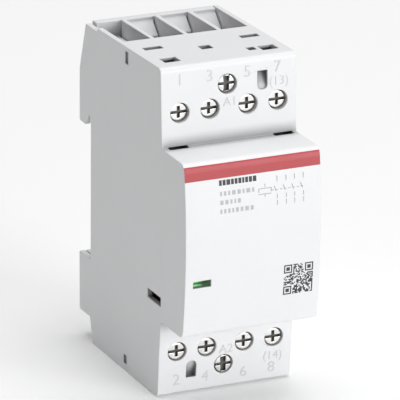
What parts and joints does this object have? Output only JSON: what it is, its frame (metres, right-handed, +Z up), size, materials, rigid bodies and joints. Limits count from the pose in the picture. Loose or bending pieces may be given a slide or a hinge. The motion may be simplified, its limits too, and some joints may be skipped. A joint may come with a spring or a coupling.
{
  "type": "din rail contactor",
  "caption": "Modular contactor for a DIN rail with a stepped light grey case, screw clamps above and below a bowed nose, an indicator window and a spring rail clip.",
  "frame": {"origin": "middle of the rail seat, on the rail centre line", "axes": "+X right seen from the front, +Y towards the rail, +Z up"},
  "size_m": [0.036, 0.065, 0.085],
  "materials": {
    "housing_plastic": "fine spark-eroded light grey moulding",
    "base_plastic": "fine matt light grey moulding",
    "clip_plastic": "matt grey moulding",
    "carrier_plastic": "dark heat-proof moulding",
    "bobbin_plastic": "natural glass-filled moulding",
    "screw_steel": "bright nickel plate",
    "cage_steel": "zinc plate",
    "contact_copper": "tinned copper strip",
    "magnet_steel": "ground electrical steel",
    "spring_steel": "drawn spring wire",
    "winding_enamel": "enamelled copper wire",
    "flag_plastic": "two-colour flag, green at rest and red when pulled in",
    "clear_plastic": "clear window",
    "board_laminate": "solder-masked laminate"
  },
  "bodies": {
    "case": {"front_housing": "housing_plastic", "rear_base": "base_plastic", "fixed_contact_upper_1": "contact_copper", "fixed_contact_upper_2": "contact_copper", "fixed_contact_upper_3": "contact_copper", "fixed_contact_upper_4": "contact_copper", "coil_upper_blade": "contact_copper", "coil_upper_lead": "winding_enamel", "fixed_contact_lower_1": "contact_copper", "fixed_contact_lower_2": "contact_copper", "fixed_contact_lower_3": "contact_copper", "fixed_contact_lower_4": "contact_copper", "coil_lower_blade": "contact_copper", "coil_lower_lead": "winding_enamel", "magnet_core": "magnet_steel", "coil_bobbin": "bobbin_plastic", "coil_winding": "winding_enamel", "indicator_lens": "clear_plastic", "indicator_pin": "spring_steel", "rectifier_board": "board_laminate", "return_spring_left": "spring_steel", "return_spring_right": "spring_steel", "clip_spring": "spring_steel"},
    "rail_clip": {"rail_clip": "clip_plastic"},
    "contact_carrier": {"contact_carrier": "carrier_plastic", "armature": "magnet_steel", "armature_pin": "spring_steel", "contact_spring_1": "spring_steel", "contact_spring_2": "spring_steel", "contact_spring_3": "spring_steel", "contact_spring_4": "spring_steel"},
    "contact_bridge_1": {"contact_bridge_1": "contact_copper"},
    "contact_bridge_2": {"contact_bridge_2": "contact_copper"},
    "contact_bridge_3": {"contact_bridge_3": "contact_copper"},
    "contact_bridge_4": {"contact_bridge_4": "contact_copper"},
    "indicator_flag": {"indicator_flag": "flag_plastic"},
    "screw_upper_1": {"terminal_screw_upper_1": "screw_steel"},
    "cage_upper_1": {"clamp_cage_upper_1": "cage_steel"},
    "screw_upper_2": {"terminal_screw_upper_2": "screw_steel"},
    "cage_upper_2": {"clamp_cage_upper_2": "cage_steel"},
    "screw_upper_3": {"terminal_screw_upper_3": "screw_steel"},
    "cage_upper_3": {"clamp_cage_upper_3": "cage_steel"},
    "screw_upper_4": {"terminal_screw_upper_4": "screw_steel"},
    "cage_upper_4": {"clamp_cage_upper_4": "cage_steel"},
    "coil_upper_screw": {"coil_upper_screw": "screw_steel"},
    "coil_upper_cage": {"coil_upper_cage": "cage_steel"},
    "screw_lower_1": {"terminal_screw_lower_1": "screw_steel"},
    "cage_lower_1": {"clamp_cage_lower_1": "cage_steel"},
    "screw_lower_2": {"terminal_screw_lower_2": "screw_steel"},
    "cage_lower_2": {"clamp_cage_lower_2": "cage_steel"},
    "screw_lower_3": {"terminal_screw_lower_3": "screw_steel"},
    "cage_lower_3": {"clamp_cage_lower_3": "cage_steel"},
    "screw_lower_4": {"terminal_screw_lower_4": "screw_steel"},
    "cage_lower_4": {"clamp_cage_lower_4": "cage_steel"},
    "coil_lower_screw": {"coil_lower_screw": "screw_steel"},
    "coil_lower_cage": {"coil_lower_cage": "cage_steel"}
  },
  "joints": [
    {"name": "rail_clip_slide", "type": "slide", "parent": "case", "child": "rail_clip", "axis": [0, 0, -1], "range_m": [0, 0.0042], "stiffness_N_per_m": 500, "springref_m": -0.004, "deforming": ["clip_spring"]},
    {"name": "carrier_slide", "type": "slide", "parent": "case", "child": "contact_carrier", "axis": [0, 1, 0], "range_m": [0, 0.003], "stiffness_N_per_m": 400, "springref_m": -0.005, "deforming": ["return_spring_left", "return_spring_right"]},
    {"name": "bridge_1_slide", "type": "slide", "parent": "contact_carrier", "child": "contact_bridge_1", "axis": [0, 1, 0], "range_m": [-0.001, 0], "stiffness_N_per_m": 500, "springref_m": 0.003, "deforming": ["contact_spring_1"]},
    {"name": "bridge_2_slide", "type": "slide", "parent": "contact_carrier", "child": "contact_bridge_2", "axis": [0, 1, 0], "range_m": [-0.001, 0], "stiffness_N_per_m": 500, "springref_m": 0.003, "deforming": ["contact_spring_2"]},
    {"name": "bridge_3_slide", "type": "slide", "parent": "contact_carrier", "child": "contact_bridge_3", "axis": [0, 1, 0], "range_m": [-0.001, 0], "stiffness_N_per_m": 500, "springref_m": 0.003, "deforming": ["contact_spring_3"]},
    {"name": "bridge_4_slide", "type": "slide", "parent": "contact_carrier", "child": "contact_bridge_4", "axis": [0, 1, 0], "range_m": [-0.001, 0], "stiffness_N_per_m": 500, "springref_m": 0.003, "deforming": ["contact_spring_4"]},
    {"name": "indicator_turn", "type": "hinge", "parent": "case", "child": "indicator_flag", "pos_m": [-0.01345, -0.0513, -0.00735], "axis": [1, 0, 0], "range_deg": [0, 35.5]},
    {"name": "screw_upper_1_turn", "type": "hinge", "parent": "case", "child": "screw_upper_1", "pos_m": [-0.01305, -0.041, 0.0315], "axis": [0, 1, 0], "range_deg": [0, 2165]},
    {"name": "cage_upper_1_slide", "type": "slide", "parent": "case", "child": "cage_upper_1", "axis": [0, -1, 0], "range_m": [0, 0.0042]},
    {"name": "screw_upper_2_turn", "type": "hinge", "parent": "case", "child": "screw_upper_2", "pos_m": [-0.00505, -0.041, 0.0315], "axis": [0, 1, 0], "range_deg": [0, 2165]},
    {"name": "cage_upper_2_slide", "type": "slide", "parent": "case", "child": "cage_upper_2", "axis": [0, -1, 0], "range_m": [0, 0.0042]},
    {"name": "screw_upper_3_turn", "type": "hinge", "parent": "case", "child": "screw_upper_3", "pos_m": [0.00505, -0.041, 0.0315], "axis": [0, 1, 0], "range_deg": [0, 2165]},
    {"name": "cage_upper_3_slide", "type": "slide", "parent": "case", "child": "cage_upper_3", "axis": [0, -1, 0], "range_m": [0, 0.0042]},
    {"name": "screw_upper_4_turn", "type": "hinge", "parent": "case", "child": "screw_upper_4", "pos_m": [0.01305, -0.041, 0.0315], "axis": [0, 1, 0], "range_deg": [0, 2165]},
    {"name": "cage_upper_4_slide", "type": "slide", "parent": "case", "child": "cage_upper_4", "axis": [0, -1, 0], "range_m": [0, 0.0042]},
    {"name": "coil_upper_screw_turn", "type": "hinge", "parent": "case", "child": "coil_upper_screw", "pos_m": [-0.0004, -0.041, 0.0372], "axis": [0, 1, 0], "range_deg": [0, 1625]},
    {"name": "coil_upper_cage_slide", "type": "slide", "parent": "case", "child": "coil_upper_cage", "axis": [0, -1, 0], "range_m": [0, 0.00225]},
    {"name": "screw_lower_1_turn", "type": "hinge", "parent": "case", "child": "screw_lower_1", "pos_m": [-0.01305, -0.041, -0.0302], "axis": [0, 1, 0], "range_deg": [0, 2165]},
    {"name": "cage_lower_1_slide", "type": "slide", "parent": "case", "child": "cage_lower_1", "axis": [0, -1, 0], "range_m": [0, 0.0042]},
    {"name": "screw_lower_2_turn", "type": "hinge", "parent": "case", "child": "screw_lower_2", "pos_m": [-0.00505, -0.041, -0.0302], "axis": [0, 1, 0], "range_deg": [0, 2165]},
    {"name": "cage_lower_2_slide", "type": "slide", "parent": "case", "child": "cage_lower_2", "axis": [0, -1, 0], "range_m": [0, 0.0042]},
    {"name": "screw_lower_3_turn", "type": "hinge", "parent": "case", "child": "screw_lower_3", "pos_m": [0.00505, -0.041, -0.0302], "axis": [0, 1, 0], "range_deg": [0, 2165]},
    {"name": "cage_lower_3_slide", "type": "slide", "parent": "case", "child": "cage_lower_3", "axis": [0, -1, 0], "range_m": [0, 0.0042]},
    {"name": "screw_lower_4_turn", "type": "hinge", "parent": "case", "child": "screw_lower_4", "pos_m": [0.01305, -0.041, -0.0302], "axis": [0, 1, 0], "range_deg": [0, 2165]},
    {"name": "cage_lower_4_slide", "type": "slide", "parent": "case", "child": "cage_lower_4", "axis": [0, -1, 0], "range_m": [0, 0.0042]},
    {"name": "coil_lower_screw_turn", "type": "hinge", "parent": "case", "child": "coil_lower_screw", "pos_m": [-0.0004, -0.041, -0.0354], "axis": [0, 1, 0], "range_deg": [0, 1625]},
    {"name": "coil_lower_cage_slide", "type": "slide", "parent": "case", "child": "coil_lower_cage", "axis": [0, -1, 0], "range_m": [0, 0.00225]}
  ],
  "couplings": [
    {"joint": "indicator_turn", "follows": "carrier_slide", "rad_per_m": 203.62},
    {"joint": "screw_upper_1_turn", "follows": "cage_upper_1_slide", "rad_per_m": 8976},
    {"joint": "screw_upper_2_turn", "follows": "cage_upper_2_slide", "rad_per_m": 8976},
    {"joint": "screw_upper_3_turn", "follows": "cage_upper_3_slide", "rad_per_m": 8976},
    {"joint": "screw_upper_4_turn", "follows": "cage_upper_4_slide", "rad_per_m": 8976},
    {"joint": "coil_upper_screw_turn", "follows": "coil_upper_cage_slide", "rad_per_m": 12566},
    {"joint": "screw_lower_1_turn", "follows": "cage_lower_1_slide", "rad_per_m": 8976},
    {"joint": "screw_lower_2_turn", "follows": "cage_lower_2_slide", "rad_per_m": 8976},
    {"joint": "screw_lower_3_turn", "follows": "cage_lower_3_slide", "rad_per_m": 8976},
    {"joint": "screw_lower_4_turn", "follows": "cage_lower_4_slide", "rad_per_m": 8976},
    {"joint": "coil_lower_screw_turn", "follows": "coil_lower_cage_slide", "rad_per_m": 12566}
  ]
}
